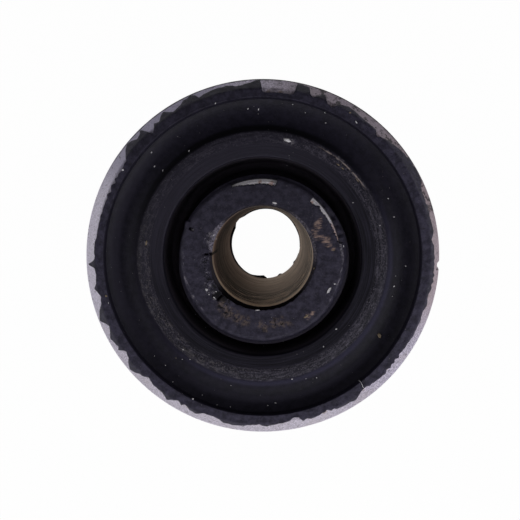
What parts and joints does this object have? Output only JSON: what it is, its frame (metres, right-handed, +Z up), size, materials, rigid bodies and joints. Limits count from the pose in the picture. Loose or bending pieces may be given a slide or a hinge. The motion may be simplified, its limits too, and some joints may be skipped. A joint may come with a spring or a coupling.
{
  "type": "bonded rubber bushing",
  "caption": "Used round rubber-to-metal bushing: thick inner bolt sleeve and pressed-in outer sleeve joined by moulded rubber with a ridge, a deep groove and ragged flash.",
  "frame": {"origin": "on the axis, at the lower end that the bushing stands on", "axes": "+Z up along the bolt bore, towards the worn end that the picture shows"},
  "size_m": [0.043, 0.043, 0.0446],
  "materials": {
    "outer_steel": "dull grey steel with a fine grain, lightly stained",
    "rubber": "satin black moulded rubber, scuffed and dusty",
    "bore_steel": "turned steel darkened to olive brown"
  },
  "bodies": {
    "root": {"outer_sleeve": "outer_steel", "rubber_body": "rubber", "inner_sleeve": "bore_steel"}
  },
  "joints": []
}
